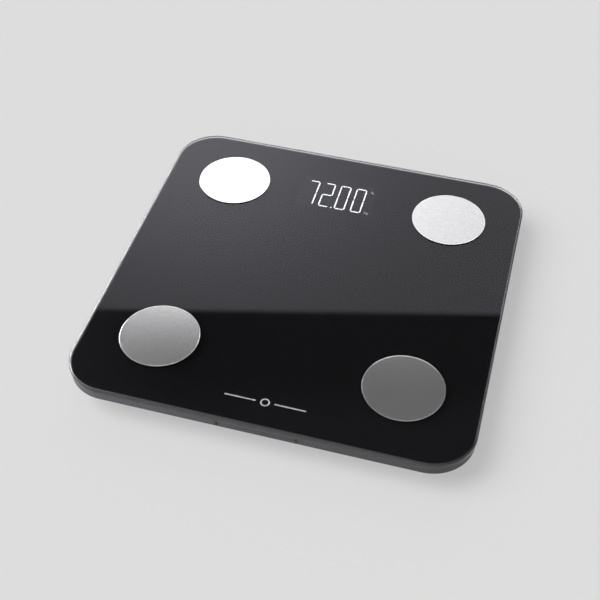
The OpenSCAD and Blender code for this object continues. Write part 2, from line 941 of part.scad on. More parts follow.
// Route of the wire from an electrode's stud, outside the cell's wires, to the middle socket
function electrode_route(s) =
    let (in = -s / norm(s), side = [-in[1], in[0]] * s[0] * s[1], at = s * foot_xy,
         stud = electrode_at(s), end_y = board_y + s[1] * wire_pitch,
         notch = at + in * (well_r + well_t + 0.8) + side * 2.2,
         past = at + in * (well_r + 14) + side * 3.2)
    [[stud[0], stud[1], stud_z - wire_r],
     [stud[0] + in[0] * 4, stud[1] + in[1] * 4, stud_z - wire_r],
     [notch[0], notch[1], stud_z - wire_r],
     [past[0], past[1], wire_floor_z + 2.4],
     [s[0] * 59.5, s[1] > 0 ? 50 : -34, wire_floor_z],
     [s[0] * 53, end_y + s[1] * 6, board_z - 1],
     [s[0] * 47.5, end_y, board_z + 1],
     [s[0] * (socket_wire_x + 4), end_y, socket_wire_z],
     [s[0] * socket_wire_x, end_y, socket_wire_z]];

module electrode_wires() {
    color([0.2, 0.35, 0.75])
        for (s = corner_signs)
            wire(smooth_route(electrode_route(s), 3), wire_r);
}

// ---------- Batteries ----------

// The rows from front to back, with the side that each cell's positive end faces
BATTERY_Y = [battery_rear_y - 2 * battery_pitch, battery_rear_y - battery_pitch, battery_rear_y];
BATTERY_PLUS = [1, -1, 1];

// Places children on a battery's axis, with +Z pointing at its positive contact
module at_battery(row) {
    translate([0, BATTERY_Y[row], battery_z])
        rotate([0, 90 * BATTERY_PLUS[row], 0])
            children();
}

module battery(row) {
    tip = bay_half - contact_t - contact_dimple;
    bottom = tip - battery_l;
    shoulder = tip - battery_nub_l;
    color([0.75, 0.5, 0.2])
        at_battery(row)
            rotate_extrude()
                polygon([[0, bottom + 0.2], [3, bottom + 0.2], [3.2, bottom], [battery_r - 0.6, bottom],
                         [battery_r, bottom + 0.6], [battery_r, shoulder - 0.6],
                         [battery_r - 0.6, shoulder], [battery_nub_r + 0.3, shoulder],
                         [battery_nub_r, shoulder + 0.2], [battery_nub_r, tip - 0.2],
                         [battery_nub_r - 0.2, tip], [0, tip]]);
}

// Nickel strips: two bridges between neighbours, and two end strips with tails for the leads
module battery_contacts() {
    low = 7.8;
    high = 16.4;
    half = 4.2;
    inner = bay_half - contact_t;
    color([0.8, 0.79, 0.75]) {
        block(-bay_half, -inner, BATTERY_Y[1] - half, BATTERY_Y[2] + half, low, high);
        block(inner, bay_half, BATTERY_Y[0] - half, BATTERY_Y[1] + half, low, high);
        difference() {
            block(-bay_half, -inner, BATTERY_Y[0] - half, bay_back_y + 6, low, 17.6);
            block(-bay_half - over, -inner + over, BATTERY_Y[0] + half, bay_back_y + 7,
                  low - over, 16.7);
        }
        block(inner, bay_half, BATTERY_Y[2] - half, BATTERY_Y[2] + half, low, high);
        block(inner, bay_half, BATTERY_Y[2] + half - 0.1, bay_back_y + 6, 14.6, high);
        for (row = [0:2])
            at_battery(row)
                translate([0, 0, inner - contact_dimple])
                    cylinder(h = contact_dimple, r1 = 1.6, r2 = 2.6);
    }
}

// Conical coil springs on the negative contacts
module battery_springs() {
    turns = 3.5;
    steps = 56;
    coil_r = 0.3;
    inner = bay_half - contact_t;
    color([0.8, 0.79, 0.75])
        for (row = [0:2])
            at_battery(row)
                wire([for (i = [0:steps])
                         let (t = i / steps, a = 360 * turns * t, r = 3.6 - 1.3 * t)
                         [r * cos(a), r * sin(a),
                          -inner + coil_r + t * (spring_l - 2 * coil_r)]],
                     coil_r, 6);
}

module battery_lead_positive() {
    color([0.8, 0.1, 0.08])
        wire(smooth_route([[bay_half - contact_t - lead_r, bay_back_y + 3, 15.5], [20, bay_back_y + 14, 14],
                           [20, -56, 12.2], [12, -40, 12.2], [5, -16, 11],
                           [4.2, board_y - board_d / 2 - 4, board_top_z + 2.6],
                           [4.2, board_y - board_d / 2 + 2.6, board_top_z + 2.6]], 4), lead_r);
}

module battery_lead_negative() {
    color([0.08, 0.08, 0.08])
        wire(smooth_route([[-bay_half + contact_t + lead_r, bay_back_y + 3, 17.1], [-20, bay_back_y + 14, 14],
                           [-16, -56, 12.2], [-8, -40, 12.2], [1, -16, 11],
                           [1.8, board_y - board_d / 2 - 4, board_top_z + 2.6],
                           [1.8, board_y - board_d / 2 + 2.6, board_top_z + 2.6]], 4), lead_r);
}

// ---------- Unit button ----------

module unit_switch() {
    color([0.15, 0.15, 0.15])
        difference() {
            block(button_x - 3, button_x + 3, button_y - 3, button_y + 3,
                  board_z - switch_h, board_z);
            post(button_x, button_y, plunger_r + 0.15, board_z - switch_h - over,
                 board_z - switch_h + plunger_h);
        }
}

module switch_plunger() {
    color([0.85, 0.85, 0.85])
        post(button_x, button_y, plunger_r, floor_z + button_flange_t,
             floor_z + button_flange_t + plunger_h);
}

module unit_button() {
    color([0.5, 0.5, 0.52])
        translate([button_x, button_y, 0])
            rotate_extrude()
                polygon([[0, base_z + button_recess + 0.3], [2.2, base_z + button_recess],
                         [button_r - 0.4, base_z + button_recess],
                         [button_r, base_z + button_recess + 0.4], [button_r, floor_z],
                         [button_flange_r, floor_z], [button_flange_r, floor_z + button_flange_t],
                         [0, floor_z + button_flange_t]]);
}

// ---------- Nodes ----------

glass_platform();
printed_mask();
display_window();
printed_mark();
glass_tape();
electrode([-1, -1]);  // electrode_front_left
electrode([1, -1]);  // electrode_front_right
electrode([-1, 1]);  // electrode_back_left
electrode([1, 1]);  // electrode_back_right
electrode_adhesive();
base_tray();
rating_label();
main_board();
board_chips();
bluetooth_module();
board_sockets();
board_screws();
display_board();
display_reflector();
display_gasket();
segments_lit();
segments_unlit();
unit_icons();
display_screws();
display_ribbon();
load_cell([-1, -1]);  // load_cell_front_left
load_cell([1, -1]);  // load_cell_front_right
load_cell([-1, 1]);  // load_cell_back_left
load_cell([1, 1]);  // load_cell_back_right
strain_gauges();
cell_wires(-1, [0.8, 0.1, 0.08]);  // cell_wires_red
cell_wires(0, [0.08, 0.08, 0.08]);  // cell_wires_black
cell_wires(1, [0.9, 0.9, 0.9]);  // cell_wires_white
electrode_wires();
battery(0);  // battery_front
battery(1);  // battery_middle
battery(2);  // battery_rear
battery_contacts();
battery_springs();
battery_lead_positive();
battery_lead_negative();
unit_switch();
foot_cup([-1, -1]);  // foot_cup_front_left
foot_cup([1, -1]);  // foot_cup_front_right
foot_cup([-1, 1]);  // foot_cup_back_left
foot_cup([1, 1]);  // foot_cup_back_right
foot_pad([-1, -1]);  // foot_pad_front_left
foot_pad([1, -1]);  // foot_pad_front_right
foot_pad([-1, 1]);  // foot_pad_back_left
foot_pad([1, 1]);  // foot_pad_back_right
battery_door();
unit_button();
switch_plunger();
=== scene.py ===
"""Looks of a digital body scale with a glass platform: its glass, steel electrodes, lit display,
tray, feet and inner parts, set up as an add-on with one operator for each group of pieces."""

import math

import bmesh
import bpy
from mathutils import Matrix, Vector


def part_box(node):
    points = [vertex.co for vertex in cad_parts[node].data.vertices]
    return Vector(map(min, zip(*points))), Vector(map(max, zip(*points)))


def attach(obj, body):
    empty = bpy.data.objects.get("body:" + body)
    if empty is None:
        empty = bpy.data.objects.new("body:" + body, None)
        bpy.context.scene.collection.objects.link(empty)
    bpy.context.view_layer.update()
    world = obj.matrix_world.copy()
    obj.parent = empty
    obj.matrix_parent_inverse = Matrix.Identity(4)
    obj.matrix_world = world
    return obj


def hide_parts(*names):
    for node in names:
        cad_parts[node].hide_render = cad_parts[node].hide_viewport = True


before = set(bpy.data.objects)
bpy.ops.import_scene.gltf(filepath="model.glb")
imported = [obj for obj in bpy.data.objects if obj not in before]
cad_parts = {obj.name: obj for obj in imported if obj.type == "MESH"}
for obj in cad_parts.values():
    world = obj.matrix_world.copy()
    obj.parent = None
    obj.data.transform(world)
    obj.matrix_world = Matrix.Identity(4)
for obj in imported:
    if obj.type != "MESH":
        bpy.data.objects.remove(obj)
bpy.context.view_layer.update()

bl_info = {
    "name": "Glass body scale",
    "version": (1, 0, 0),
    "blender": (4, 5, 0),
    "location": "View3D > Sidebar > Scale",
    "description": "Builds the looks of a glass body scale around its packed parts",
    "category": "Object",
}

MM = 0.001
CORNERS = ("front_left", "front_right", "back_left", "back_right")


# ---------- Sizes and colours that a user would change ----------

class ScaleSizes(bpy.types.PropertyGroup):
    """Sizes of the pieces that are shaped here."""

    glass_radius: bpy.props.FloatProperty(
        name="Glass corner radius", description="Corner radius of the glass platform",
        default=28.5 * MM, min=5 * MM, max=60 * MM, unit="LENGTH")
    glass_round: bpy.props.FloatProperty(
        name="Glass edge rounding", description="Width of the ground rounding on the top edge",
        default=1.2 * MM, min=0.2 * MM, max=1.8 * MM, unit="LENGTH")
    glass_low_round: bpy.props.FloatProperty(
        name="Lower edge rounding", description="Width of the ground rounding on the lower edge",
        default=0.6 * MM, min=0.1 * MM, max=1.2 * MM, unit="LENGTH")
    stud_hole: bpy.props.FloatProperty(
        name="Stud hole radius", description="Radius of each hole that an electrode's stud uses",
        default=3.0 * MM, min=2 * MM, max=6 * MM, unit="LENGTH")
    electrode_roll: bpy.props.FloatProperty(
        name="Electrode edge roll", description="Radius of the rolled edge of each electrode",
        default=0.12 * MM, min=0.05 * MM, max=0.45 * MM, unit="LENGTH")
    electrode_bead: bpy.props.FloatProperty(
        name="Electrode bead", description="Half the width of the fine bead inside that roll",
        default=0.22 * MM, min=0.1 * MM, max=1 * MM, unit="LENGTH")
    pad_groove: bpy.props.FloatProperty(
        name="Sole groove depth", description="Depth of the ring grooves under each rubber sole",
        default=0.6 * MM, min=0.1 * MM, max=1.5 * MM, unit="LENGTH")
    # Only places the painted shade beside the door's side gaps; the door itself comes from the
    # part.
    door_width: bpy.props.FloatProperty(
        name="Battery door width", description="Width of the battery door between its side gaps",
        default=50 * MM, min=40 * MM, max=60 * MM, unit="LENGTH")
    case_round: bpy.props.FloatProperty(
        name="Moulded edge rounding", description="Rounding of the edges of moulded parts",
        default=0.25 * MM, min=0.05 * MM, max=1 * MM, unit="LENGTH")


def shade(name, description, default):
    return bpy.props.FloatVectorProperty(
        name=name, description=description, subtype="COLOR", size=3, min=0, max=1,
        default=default)


class ScaleColours(bpy.types.PropertyGroup):
    """Colours of the finishes."""

    tray: shade("Tray plastic", "Satin plastic of the tray and the battery door",
                (0.045, 0.0435, 0.051))
    foot: shade("Foot plastic", "Plastic of the four foot cups", (0.035, 0.035, 0.037))
    rubber: shade("Sole rubber", "Rubber of the four soles", (0.05, 0.05, 0.05))
    ink: shade("Glass ink", "Ink printed on the back of the glass", (0.002, 0.002, 0.0022))
    steel: shade("Electrode steel", "Satin steel of the electrodes", (0.862, 0.872, 0.808))
    ground: shade("Ground glass", "Ground edge of the glass", (0.5, 0.505, 0.5))
    lit: shade("Lit bars", "Light of the bars that are on", (0.93, 0.96, 1.0))
    floor: shade("Floor", "Plain studio floor", (0.28, 0.28, 0.28))


class ScaleStudio(bpy.types.PropertyGroup):
    """Light and camera of the studio."""

    key_power: bpy.props.FloatProperty(
        name="Key light", description="Strength of the wide key light at the back left",
        default=3.05, min=0, max=10)
    card_power: bpy.props.FloatProperty(
        name="Back card", description="Brightness of the lit card behind the scale",
        default=0.86, min=0, max=5)
    top_power: bpy.props.FloatProperty(
        name="Overhead panel", description="Brightness of the panel straight above",
        default=0.25, min=0, max=10)
    fill_power: bpy.props.FloatProperty(
        name="Room fill", description="Brightness of the room's left wall",
        default=0.6, min=0, max=5)
    side_power: bpy.props.FloatProperty(
        name="Side lamp", description="Power of the small lamp at the front left",
        default=0.42, min=0, max=5, unit="POWER")
    strip_power: bpy.props.FloatProperty(
        name="Rim light", description="Brightness of the low strip light behind and at the left",
        default=16.0, min=0, max=60)
    table_power: bpy.props.FloatProperty(
        name="Light table", description="Brightness of the lit table that the scale stands on",
        default=0.42, min=0, max=2)
    backdrop: bpy.props.FloatProperty(
        name="Backdrop", description="Grey level of the plain backdrop",
        default=0.723, min=0, max=1)
    focal: bpy.props.FloatProperty(
        name="Focal length", description="Focal length of the camera in millimetres",
        default=66.32, min=20, max=200)


# ---------- Finishes ----------

def math_node(tree, operation, *values):
    """A node that does operation on values, which are numbers or outputs of other nodes."""
    node = tree.nodes.new("ShaderNodeMath")
    node.operation = operation
    for socket, value in zip(node.inputs, values):
        if isinstance(value, (int, float)):
            socket.default_value = value
        else:
            tree.links.new(value, socket)
    return node.outputs["Value"]


class Finish:
    """One procedural material: a principled surface with grain in its colour, gloss and relief."""

    def __init__(self, name):
        self.material = bpy.data.materials.new(name)
        self.material.use_nodes = True
        self.nodes = self.material.node_tree.nodes
        self.links = self.material.node_tree.links
        self.surface = self.nodes["Principled BSDF"]
        self.output = self.nodes["Material Output"]
        self.place = self.nodes.new("ShaderNodeTexCoord").outputs["Object"]

    def add(self, kind, **values):
        node = self.nodes.new("ShaderNode" + kind)
        for key, value in values.items():
            setattr(node, key, value)
        return node

    def set(self, **values):
        for key, value in values.items():
            self.surface.inputs[key.replace("_", " ")].default_value = value
        return self

    def stretched(self, factors):
        mapping = self.add("Mapping")
        mapping.inputs["Scale"].default_value = factors
        self.links.new(self.place, mapping.inputs["Vector"])
        return mapping.outputs["Vector"]

    def noise(self, size, detail=2.0, factors=None):
        """Soft noise whose features are about size metres across."""
        node = self.add("TexNoise")
        node.inputs["Scale"].default_value = 1 / size
        node.inputs["Detail"].default_value = detail
        source = self.place if factors is None else self.stretched(factors)
        self.links.new(source, node.inputs["Vector"])
        return node.outputs["Fac"]

    def ramp(self, value, stops, hard=False):
        node = self.add("ValToRGB")
        node.color_ramp.interpolation = "CONSTANT" if hard else "LINEAR"
        elements = node.color_ramp.elements
        while len(elements) < len(stops):
            elements.new(0.5)
        for element, (at, colour) in zip(elements, stops):
            element.position = at
            element.color = (*colour, 1)
        self.links.new(value, node.inputs["Fac"])
        return node.outputs["Color"]

    def span(self, value, low, high, start=0.3, end=0.7):
        node = self.add("MapRange")
        for key, number in (("From Min", start), ("From Max", end), ("To Min", low),
                            ("To Max", high)):
            node.inputs[key].default_value = number
        self.links.new(value, node.inputs["Value"])
        return node.outputs["Result"]

    def colour(self, value, base, change=0.12):
        """The base colour, darker and lighter by the share change as value goes from 0 to 1."""
        dark = tuple(channel * (1 - change) for channel in base)
        light = tuple(min(1, channel * (1 + change)) for channel in base)
        self.links.new(self.ramp(value, ((0.3, dark), (0.7, light))),
                       self.surface.inputs["Base Color"])
        return self

    def gloss(self, value, low, high):
        self.links.new(self.span(value, low, high), self.surface.inputs["Roughness"])
        return self

    def relief(self, value, depth, strength=1.0):
        node = self.add("Bump")
        node.inputs["Distance"].default_value = depth
        node.inputs["Strength"].default_value = strength
        self.links.new(value, node.inputs["Height"])
        self.links.new(node.outputs["Normal"], self.surface.inputs["Normal"])
        return self

    def axis(self, index):
        split = self.add("SeparateXYZ")
        self.links.new(self.place, split.inputs["Vector"])
        return split.outputs[index]

    def math(self, operation, *values):
        return math_node(self.material.node_tree, operation, *values)

    def paint_shade(self, where, share):
        """Painted shade: multiplies the base colour by share where the value is 1."""
        mix = self.add("MixRGB", blend_type="MULTIPLY")
        mix.inputs["Color2"].default_value = (share, share, share, 1)
        self.links.new(where, mix.inputs["Fac"])
        self.links.new(self.surface.inputs["Base Color"].links[0].from_socket, mix.inputs["Color1"])
        self.links.new(mix.outputs["Color"], self.surface.inputs["Base Color"])
        return self

    def slopes(self):
        """1 where the surface isn't level."""
        split = self.add("SeparateXYZ")
        self.links.new(self.add("NewGeometry").outputs["Normal"], split.inputs["Vector"])
        return self.span(split.outputs["Z"], 1, 0, 0.9, 0.985)

    def see_through_in_shadow(self):
        """Light goes straight through the surface, so what lies under it is lit."""
        path = self.add("LightPath")
        clear = self.add("BsdfTransparent")
        mix = self.add("MixShader")
        self.links.new(path.outputs["Is Shadow Ray"], mix.inputs["Fac"])
        self.links.new(self.surface.outputs["BSDF"], mix.inputs[1])
        self.links.new(clear.outputs["BSDF"], mix.inputs[2])
        self.links.new(mix.outputs["Shader"], self.output.inputs["Surface"])
        return self


def moulded(name, base, grain=0.35 * MM, rough=(0.4, 0.52), depth=0.02 * MM, change=0.06):
    """Moulded plastic with a fine spark-eroded grain and slight clouding."""
    finish = Finish(name)
    fine = finish.noise(grain, 3)
    finish.colour(finish.noise(9 * MM, 3), base, change)
    finish.gloss(finish.noise(2.5 * MM, 2), *rough).relief(fine, depth, 0.5)
    return finish


def tray_plastic(sizes, colours):
    """Moulded plastic with painted shade right beside the battery door's side gaps, where no light
    gets in.
    """
    finish = moulded("tray_plastic", colours.tray)
    low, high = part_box("battery_door")
    half = sizes.door_width / 2 + 0.15 * MM
    aside = finish.math("ABSOLUTE", finish.math("SUBTRACT", finish.axis(0), (low.x + high.x) / 2))
    from_gap = finish.math("ABSOLUTE", finish.math("SUBTRACT", aside, half))
    gap_painted_shade = finish.math("MULTIPLY", finish.span(from_gap, 1, 0, 0.6 * MM, 0.95 * MM),
                         finish.span(finish.axis(1), 1, 0, high.y, high.y + 0.5 * MM))
    # Painted shade: the base colour is darkened to 0.02 of itself in narrow bands along the door's
    # side gaps.
    return finish.paint_shade(gap_painted_shade, 0.02).material


def metal(name, base, rough=(0.25, 0.35), grain=0.4 * MM, factors=None, depth=0.004 * MM):
    """Metal with a fine grain, stretched along its working direction where factors are given."""
    finish = Finish(name).set(Metallic=1.0)
    finish.colour(finish.noise(3 * MM, 3), base, 0.05)
    fine = finish.noise(grain, 3, factors)
    return finish.gloss(fine, *rough).relief(fine, depth, 0.4)


def clear_glass():
    finish = Finish("tempered_glass").set(Transmission_Weight=1.0, IOR=1.5)
    finish.colour(finish.noise(60 * MM, 2), (0.95, 0.97, 0.965), 0.01)
    finish.set(Roughness=0.0)
    return finish.see_through_in_shadow().material


def ground_glass(colours):
    """Finely ground edge, which scatters the light that passes through it."""
    finish = Finish("ground_glass_edge").set(Transmission_Weight=0.92, IOR=1.5)
    finish.set(Specular_IOR_Level=1.0)
    finish.colour(finish.noise(2 * MM, 3), colours.ground, 0.03)
    finish.gloss(finish.noise(0.6 * MM, 2), 0.14, 0.2)
    finish.relief(finish.noise(0.3 * MM, 3), 0.004 * MM, 0.5)
    return finish.see_through_in_shadow().material


def glass_ink(colours):
    finish = Finish("glass_ink").set(Specular_IOR_Level=0.0)
    finish.colour(finish.noise(5 * MM, 3), colours.ink, 0.12)
    return finish.gloss(finish.noise(1 * MM, 2), 0.6, 0.75).material


def smoked_film():
    finish = Finish("smoked_film").set(Specular_IOR_Level=0.0, Alpha=0.7)
    finish.colour(finish.noise(4 * MM, 2), (0.002, 0.002, 0.0022), 0.1)
    return finish.gloss(finish.noise(1 * MM, 2), 0.5, 0.6).material


def silver_ink():
    finish = Finish("silver_ink").set(Metallic=0.35)
    finish.colour(finish.noise(0.15 * MM, 2), (0.36, 0.37, 0.39), 0.1)
    return finish.gloss(finish.noise(0.3 * MM, 2), 0.4, 0.55).material


def foam():
    finish = Finish("black_foam").set(Specular_IOR_Level=0.2)
    cells = finish.add("TexVoronoi")
    cells.inputs["Scale"].default_value = 1 / (0.35 * MM)
    finish.links.new(finish.place, cells.inputs["Vector"])
    # Painted shade: the colour follows the cells of the relief, darker in the hollow middles of the
    # cells.
    finish.colour(cells.outputs["Distance"], (0.03, 0.03, 0.031), 0.3)
    finish.gloss(finish.noise(1 * MM, 2), 0.8, 0.95)
    return finish.relief(cells.outputs["Distance"], 0.08 * MM, 0.6).material


def satin_steel(colours):
    finish = Finish("satin_steel").set(Metallic=1.0)
    fine = finish.noise(0.28 * MM, 3)
    finish.colour(finish.noise(1.4 * MM, 5), colours.steel, 0.05)
    # Painted shade: the base colour is darkened on the sloped rolled edge and bead of each
    # electrode.
    finish.paint_shade(finish.slopes(), 0.06).gloss(fine, 0.1, 0.17)
    return finish.relief(fine, 0.003 * MM, 0.45).material


def sole_rubber(colours):
    finish = Finish("sole_rubber").set(Specular_IOR_Level=0.35)
    finish.colour(finish.noise(4 * MM, 3), colours.rubber, 0.15)
    finish.gloss(finish.noise(1.2 * MM, 2), 0.65, 0.85)
    return finish.relief(finish.noise(0.3 * MM, 3), 0.03 * MM, 0.6).material


def label_foil():
    """Blank matt foil."""
    finish = Finish("label_foil").set(Metallic=0.6)
    finish.colour(finish.noise(0.8 * MM, 3), (0.62, 0.63, 0.65), 0.06)
    finish.gloss(finish.noise(0.5 * MM, 2), 0.32, 0.45)
    return finish.relief(finish.noise(0.5 * MM, 2), 0.005 * MM, 0.5).material


def board_green():
    """Solder mask with tracks that show through it as a lighter, raised pattern."""
    finish = Finish("solder_mask")
    tracks = finish.add("TexBrick", offset=0.35, squash=0.6)
    for key, value in (("Scale", 1 / (14 * MM)), ("Mortar Size", 0.035), ("Mortar Smooth", 0.1),
                       ("Brick Width", 0.7), ("Row Height", 0.16)):
        tracks.inputs[key].default_value = value
    tracks.inputs["Color1"].default_value = (0.004, 0.085, 0.035, 1)
    tracks.inputs["Color2"].default_value = (0.006, 0.11, 0.045, 1)
    tracks.inputs["Mortar"].default_value = (0.02, 0.2, 0.085, 1)
    finish.links.new(finish.place, tracks.inputs["Vector"])
    finish.links.new(tracks.outputs["Color"], finish.surface.inputs["Base Color"])
    finish.gloss(finish.noise(3 * MM, 2), 0.25, 0.35)
    return finish.relief(tracks.outputs["Fac"], 0.03 * MM, 0.5).material


def ribbon_grey():
    """Flat cable with a groove between its conductors."""
    finish = Finish("flat_cable")
    waves = finish.add("TexWave", wave_type="BANDS", bands_direction="X")
    waves.inputs["Scale"].default_value = 1 / (6.4 * MM)
    finish.links.new(finish.place, waves.inputs["Vector"])
    # Painted shade: the colour follows the bands of the relief, darker in the grooves and lighter
    # on the ridges.
    finish.colour(waves.outputs["Fac"], (0.5, 0.51, 0.53), 0.25)
    finish.gloss(finish.noise(2 * MM, 2), 0.35, 0.5)
    return finish.relief(waves.outputs["Fac"], 0.1 * MM, 0.6).material


def battery_sleeve(start, end):
    """Printed sleeve: steel at both ends, a light band by the nub and a dark green body."""
    finish = Finish("battery_sleeve")
    along = finish.span(finish.axis("X"), 0.0, 1.0, start, end)
    steel, band, body = (0.62, 0.62, 0.6), (0.72, 0.60, 0.32), (0.03, 0.16, 0.10)
    stops = ((0.0, steel), (0.02, body), (0.72, band), (0.955, steel))
    tint = finish.ramp(along, stops, hard=True)
    wear = finish.add("MixRGB", blend_type="MULTIPLY")
    wear.inputs["Fac"].default_value = 0.12
    finish.links.new(tint, wear.inputs["Color1"])
    finish.links.new(finish.noise(2 * MM, 3), wear.inputs["Color2"])
    finish.links.new(wear.outputs["Color"], finish.surface.inputs["Base Color"])
    shine = ((0.0, (1,) * 3), (0.02, (0.3,) * 3), (0.72, (0.6,) * 3), (0.955, (1,) * 3))
    finish.links.new(finish.ramp(along, shine, hard=True), finish.surface.inputs["Metallic"])
    return finish.gloss(finish.noise(1.5 * MM, 2), 0.24, 0.34).material


def pvc(name, base):
    finish = Finish(name)
    finish.colour(finish.noise(3 * MM, 2), base, 0.1)
    return finish.gloss(finish.noise(1 * MM, 2), 0.35, 0.5).material


def glow(name, base, power, change=0.05):
    """A diffuser lit from behind, a little uneven."""
    finish = Finish(name).set(Emission_Strength=power, Specular_IOR_Level=0.2)
    uneven = finish.noise(1.5 * MM, 2)
    finish.colour(uneven, base, change)
    dim = tuple(channel * (1 - 2 * change) for channel in base)
    finish.links.new(finish.ramp(uneven, ((0.3, dim), (0.7, base))),
                     finish.surface.inputs["Emission Color"])
    return finish.gloss(finish.noise(1 * MM, 2), 0.4, 0.5).material


def paint(material, *names):
    for name in names:
        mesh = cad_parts[name].data
        mesh.materials.clear()
        mesh.materials.append(material)


def soften(width, *names):
    """Rounds the sharp edges of moulded nodes with a narrow bevel."""
    for name in names:
        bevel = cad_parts[name].modifiers.new("edge_round", "BEVEL")
        bevel.width = width
        bevel.segments = 2
        bevel.limit_method = "ANGLE"
        bevel.angle_limit = math.radians(38)
        bevel.harden_normals = False


# ---------- Meshes ----------

def rounded_square(half, radius, height, steps=24):
    """Points of a square ring with rounded corners, counted round from the front right."""
    points = []
    for quarter in range(4):
        turn = math.radians(90 * quarter - 90)
        corner = Vector((math.cos(turn + math.pi / 4), math.sin(turn + math.pi / 4)))
        centre = corner * (half - radius) * math.sqrt(2)
        for step in range(steps + 1):
            angle = turn + math.pi / 2 * step / steps
            points.append(Vector((centre.x + radius * math.cos(angle),
                                  centre.y + radius * math.sin(angle), height)))
    return points


def circle(centre, radius, height, steps):
    return [Vector((centre.x + radius * math.cos(2 * math.pi * k / steps),
                    centre.y + radius * math.sin(2 * math.pi * k / steps), height))
            for k in range(steps)]


def add_ring(mesh, points):
    return [mesh.verts.new(point) for point in points]


def join_rings(mesh, lower, upper, slot=0, smooth=True):
    count = len(lower)
    for k in range(count):
        after = (k + 1) % count
        face = mesh.faces.new((lower[k], lower[after], upper[after], upper[k]))
        face.smooth = smooth
        face.material_index = slot


def edges_of(mesh, ring):
    return [mesh.edges.get((ring[k - 1], ring[k])) for k in range(len(ring))]


def finish_mesh(name, mesh, materials, body, slot, *nodes):
    """Turns the built mesh into a piece that stands for the named nodes."""
    data = bpy.data.meshes.new(name)
    mesh.normal_update()
    mesh.to_mesh(data)
    mesh.free()
    piece = bpy.data.objects.new(name, data)
    bpy.context.scene.collection.objects.link(piece)
    for material in materials:
        data.materials.append(material)
    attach(piece, body)
    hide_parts(*nodes)
    return piece


def lathe(name, profile, centre, material, body, slot, node, flats=(), steps=128):
    """Turns (radius, height) points round the upright line through centre. The first and last
    point close with a flat face each. flats holds the steps of the profile that stay flat."""
    mesh = bmesh.new()
    rings = [add_ring(mesh, circle(centre, radius, height, steps)) for radius, height in profile]
    for k in range(len(rings) - 1):
        join_rings(mesh, rings[k], rings[k + 1], smooth=k not in flats)
    mesh.faces.new(list(reversed(rings[0])))
    mesh.faces.new(rings[-1])
    return finish_mesh(name, mesh, (material,), body, slot, node)


def arc(radius_at, height_at, size, start, end, steps):
    """Points of a round fillet, from the angle start to the angle end in degrees."""
    angles = [math.radians(start + (end - start) * k / steps) for k in range(steps + 1)]
    return [(radius_at + size * math.cos(a), height_at + size * math.sin(a)) for a in angles]


def middle(node):
    low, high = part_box(node)
    return (low + high) / 2


# ---------- Operators ----------

class PieceOperator:
    bl_options = {"REGISTER", "UNDO"}

    def execute(self, context):
        self.build(context.scene.scale_sizes, context.scene.scale_colours)
        return {"FINISHED"}


class SCALE_OT_glass(PieceOperator, bpy.types.Operator):
    """Glass platform with its ground edge, printed ink, window film, mark and tape"""

    bl_idname = "scale.glass"
    bl_label = "Glass platform"

    def build(self, sizes, colours):
        low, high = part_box("glass_platform")
        half = (high.x - low.x) / 2
        base = low.z - 0.05 * MM
        mesh = bmesh.new()
        steps = 6
        rings = []
        for k in range(steps + 1):
            angle = math.pi / 2 * k / steps
            inset = sizes.glass_low_round * (1 - math.sin(angle))
            height = base + sizes.glass_low_round * (1 - math.cos(angle))
            rings.append((inset, height))
        for k in range(steps + 1):
            angle = math.pi / 2 * k / steps
            inset = sizes.glass_round * (1 - math.cos(angle))
            height = high.z - sizes.glass_round * (1 - math.sin(angle))
            rings.append((inset, height))
        loops = [add_ring(mesh, rounded_square(half - inset, sizes.glass_radius - inset, height))
                 for inset, height in rings]
        for lower, upper in zip(loops, loops[1:]):
            join_rings(mesh, lower, upper, slot=1)
        bottom, top = edges_of(mesh, loops[0]), edges_of(mesh, loops[-1])
        for corner in CORNERS:
            centre = middle("electrode_" + corner)
            under = add_ring(mesh, circle(centre, sizes.stud_hole, base, 32))
            above = add_ring(mesh, circle(centre, sizes.stud_hole, high.z, 32))
            join_rings(mesh, above, under)
            bottom += edges_of(mesh, under)
            top += edges_of(mesh, above)
        for edges, up in ((bottom, -1), (top, 1)):
            made = bmesh.ops.triangle_fill(mesh, use_beauty=True, edges=edges,
                                           normal=(0, 0, up))["geom"]
            for face in made:
                if isinstance(face, bmesh.types.BMFace):
                    face.smooth = False
                    face.material_index = 0
                    if face.normal.z * up < 0:
                        face.normal_flip()
        finish_mesh("glass_sheet", mesh, (clear_glass(), ground_glass(colours)), "base",
                    "tempered_glass", "glass_platform")
        paint(glass_ink(colours), "printed_mask")
        paint(smoked_film(), "display_window")
        paint(silver_ink(), "printed_mark")
        paint(foam(), "glass_tape", "display_gasket")


class SCALE_OT_electrodes(PieceOperator, bpy.types.Operator):
    """Four steel electrodes with a rolled edge and a stud, and the film that holds them"""

    bl_idname = "scale.electrodes"
    bl_label = "Electrodes"

    def build(self, sizes, colours):
        steel = satin_steel(colours)
        sheet_t = 0.5 * MM
        stud_r = 1.5 * MM
        for corner in CORNERS:
            node = "electrode_" + corner
            low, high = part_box(node)
            radius = (high.x - low.x) / 2
            roll, bead = sizes.electrode_roll, sizes.electrode_bead
            profile = [(stud_r, low.z), (stud_r, high.z - sheet_t), (radius - 0.1 * MM,
                       high.z - sheet_t), (radius, high.z - sheet_t + 0.1 * MM)]
            profile += arc(radius - roll, high.z - roll, roll, 0, 90, 6)
            profile += [(radius - roll - bead * (1 - math.cos(math.pi * step / 8)),
                         high.z + 0.07 * bead * math.sin(math.pi * step / 8))
                        for step in range(1, 9)]
            lathe("steel_" + node, profile, middle(node), steel, "base", "electrode_steel", node,
                  flats=(1,), steps=192)
        film = Finish("clear_film").set(Alpha=0.6)
        film.colour(film.noise(2 * MM, 2), (0.12, 0.12, 0.12), 0.1)
        paint(film.gloss(film.noise(1 * MM, 2), 0.3, 0.4).material, "electrode_adhesive")


